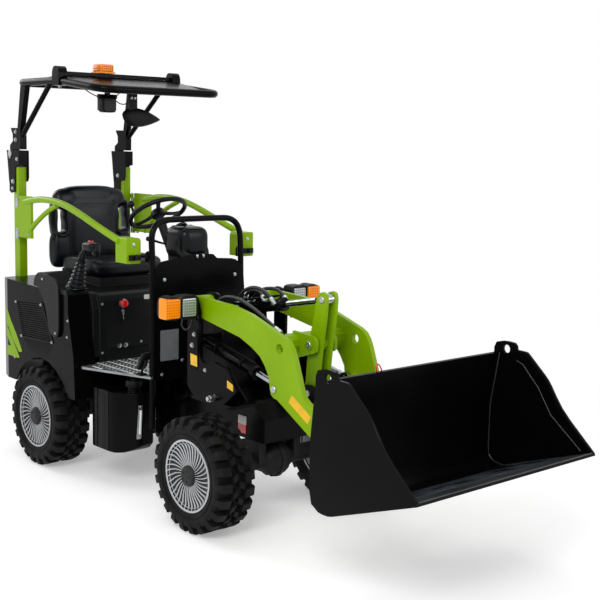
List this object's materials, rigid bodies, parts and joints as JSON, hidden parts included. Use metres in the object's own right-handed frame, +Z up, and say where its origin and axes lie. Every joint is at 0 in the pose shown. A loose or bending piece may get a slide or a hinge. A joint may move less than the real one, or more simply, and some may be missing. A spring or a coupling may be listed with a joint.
{
  "type": "mini wheel loader",
  "caption": "Compact articulated wheel loader with an open seat under a folding canopy, a Z-bar lifting arm and a wide bucket.",
  "frame": {"origin": "on the ground under the middle of the machine's bounding box, tyres standing on z = 0", "axes": "+X forward towards the bucket, +Y to the machine's left, +Z up"},
  "size_m": [3.463, 1.12, 2.227],
  "materials": {
    "green_paint": "gloss lime green powder coat",
    "black_paint": "satin black powder coat",
    "casting": "rough black painted casting",
    "tyre_rubber": "matt black rubber",
    "wheel_silver": "satin silver paint",
    "rod_chrome": "polished",
    "tread_plate": "bright raised-stud floor plate",
    "black_plastic": "matt moulded plastic",
    "seat_cover": "black artificial leather, stitched",
    "clear_lens": "clear lamp lens",
    "amber_lens": "translucent amber plastic"
  },
  "bodies": {
    "rear_frame": {"rear_chassis": "black_paint", "rear_axle": "casting", "bodywork": "black_paint", "power_unit": "casting", "seat_base": "black_plastic", "seat_cushion": "seat_cover", "seat_backrest": "seat_cover", "seat_frame": "casting", "right_console": "black_plastic", "left_console": "black_plastic", "joystick": "black_plastic", "floor_plate": "tread_plate", "guard_hoop": "black_paint", "front_panel": "black_paint", "dash_column": "black_plastic", "hydraulic_tank": "black_paint", "left_side_box": "black_paint", "right_post": "green_paint", "left_post": "green_paint", "right_fold_bracket": "black_paint", "left_fold_bracket": "black_paint"},
    "canopy": {"canopy_frame": "black_paint", "canopy_roof": "black_paint", "beacon": "amber_lens", "work_lamp": "black_plastic", "mirror": "black_plastic"},
    "steering_wheel": {"steering_wheel": "black_plastic"},
    "right_guard": {"right_guard": "green_paint"},
    "left_guard": {"left_guard": "green_paint"},
    "front_frame": {"front_chassis": "black_paint", "front_axle": "casting", "right_headlamp": "black_plastic", "right_headlamp_lens": "clear_lens", "right_turn_lens": "amber_lens", "left_headlamp": "black_plastic", "left_headlamp_lens": "clear_lens", "left_turn_lens": "amber_lens"},
    "rear_right_wheel": {"rear_right_tyre": "tyre_rubber", "rear_right_wheel": "wheel_silver"},
    "rear_left_wheel": {"rear_left_tyre": "tyre_rubber", "rear_left_wheel": "wheel_silver"},
    "front_right_wheel": {"front_right_tyre": "tyre_rubber", "front_right_wheel": "wheel_silver"},
    "front_left_wheel": {"front_left_tyre": "tyre_rubber", "front_left_wheel": "wheel_silver"},
    "boom": {"boom": "green_paint"},
    "bellcrank": {"bellcrank": "green_paint"},
    "tilt_link": {"tilt_link": "black_paint"},
    "tool": {"hitch": "black_paint", "bucket": "black_paint"},
    "right_lift_barrel": {"right_lift_barrel": "black_paint"},
    "right_lift_rod": {"right_lift_rod": "rod_chrome"},
    "left_lift_barrel": {"left_lift_barrel": "black_paint"},
    "left_lift_rod": {"left_lift_rod": "rod_chrome"},
    "tilt_barrel": {"tilt_barrel": "black_paint"},
    "tilt_rod": {"tilt_rod": "rod_chrome"}
  },
  "joints": [
    {"name": "canopy_fold", "type": "hinge", "parent": "rear_frame", "child": "canopy", "pos_m": [-1.6885, 0, 1.72], "axis": [0, -1, 0], "range_deg": [0, 160]},
    {"name": "steering_wheel_turn", "type": "hinge", "parent": "rear_frame", "child": "steering_wheel", "pos_m": [-0.7425, 0, 1.422], "axis": [-0.5446, 0, 0.8387], "continuous": true},
    {"name": "right_guard_swing", "type": "hinge", "parent": "rear_frame", "child": "right_guard", "pos_m": [-1.5975, -0.393, 1.35], "axis": [0, 0, -1], "range_deg": [0, 90]},
    {"name": "left_guard_swing", "type": "hinge", "parent": "rear_frame", "child": "left_guard", "pos_m": [-1.5975, 0.393, 1.35], "axis": [0, 0, 1], "range_deg": [0, 90]},
    {"name": "articulation", "type": "hinge", "parent": "rear_frame", "child": "front_frame", "pos_m": [-0.4625, 0, 0.35], "axis": [0, 0, 1], "range_deg": [-40, 40]},
    {"name": "rear_right_wheel_spin", "type": "hinge", "parent": "rear_frame", "child": "rear_right_wheel", "pos_m": [-1.1835, -0.4255, 0.276], "axis": [0, 1, 0], "continuous": true},
    {"name": "rear_left_wheel_spin", "type": "hinge", "parent": "rear_frame", "child": "rear_left_wheel", "pos_m": [-1.1835, 0.4255, 0.276], "axis": [0, 1, 0], "continuous": true},
    {"name": "front_right_wheel_spin", "type": "hinge", "parent": "front_frame", "child": "front_right_wheel", "pos_m": [0.2595, -0.4255, 0.276], "axis": [0, 1, 0], "continuous": true},
    {"name": "front_left_wheel_spin", "type": "hinge", "parent": "front_frame", "child": "front_left_wheel", "pos_m": [0.2595, 0.4255, 0.276], "axis": [0, 1, 0], "continuous": true},
    {"name": "boom_lift", "type": "hinge", "parent": "front_frame", "child": "boom", "pos_m": [-0.0635, 0, 1.022], "axis": [0, -1, 0], "range_deg": [-16, 75]},
    {"name": "bellcrank_turn", "type": "hinge", "parent": "boom", "child": "bellcrank", "pos_m": [0.5875, 0, 0.897], "axis": [0, -1, 0], "range_deg": [-8.5, 20.5]},
    {"name": "tilt_link_turn", "type": "hinge", "parent": "bellcrank", "child": "tilt_link", "pos_m": [0.5715, 0, 0.665], "axis": [0, -1, 0], "range_deg": [-30, 12]},
    {"name": "bucket_tilt", "type": "hinge", "parent": "boom", "child": "tool", "pos_m": [1.0215, 0, 0.428], "axis": [0, -1, 0], "range_deg": [-66, 26]},
    {"name": "right_lift_barrel_swing", "type": "hinge", "parent": "front_frame", "child": "right_lift_barrel", "pos_m": [-0.0535, -0.205, 0.845], "axis": [0, -1, 0], "range_deg": [-16, 72]},
    {"name": "right_lift_rod_slide", "type": "slide", "parent": "right_lift_barrel", "child": "right_lift_rod", "axis": [0.9744, 0, -0.2247], "range_m": [-0.05, 0.22]},
    {"name": "left_lift_barrel_swing", "type": "hinge", "parent": "front_frame", "child": "left_lift_barrel", "pos_m": [-0.0535, 0.205, 0.845], "axis": [0, -1, 0], "range_deg": [-16, 72]},
    {"name": "left_lift_rod_slide", "type": "slide", "parent": "left_lift_barrel", "child": "left_lift_rod", "axis": [0.9744, 0, -0.2247], "range_m": [-0.05, 0.22]},
    {"name": "tilt_barrel_swing", "type": "hinge", "parent": "front_frame", "child": "tilt_barrel", "pos_m": [-0.0535, 0, 0.976], "axis": [0, -1, 0], "range_deg": [-16, 73]},
    {"name": "tilt_rod_slide", "type": "slide", "parent": "tilt_barrel", "child": "tilt_rod", "axis": [0.9815, 0, 0.1917], "range_m": [-0.078, 0.033]}
  ],
  "couplings": [
    {"joint": "bellcrank_turn", "follows": "bucket_tilt", "ratio": -0.3},
    {"joint": "tilt_link_turn", "follows": "bucket_tilt", "ratio": 0.44},
    {"joint": "right_lift_barrel_swing", "follows": "boom_lift", "ratio": 0.94},
    {"joint": "right_lift_rod_slide", "follows": "boom_lift", "m_per_rad": 0.165},
    {"joint": "left_lift_barrel_swing", "follows": "boom_lift", "ratio": 0.94},
    {"joint": "left_lift_rod_slide", "follows": "boom_lift", "m_per_rad": 0.165},
    {"joint": "tilt_barrel_swing", "follows": "boom_lift", "ratio": 0.965},
    {"joint": "tilt_rod_slide", "follows": "bucket_tilt", "m_per_rad": 0.063}
  ]
}
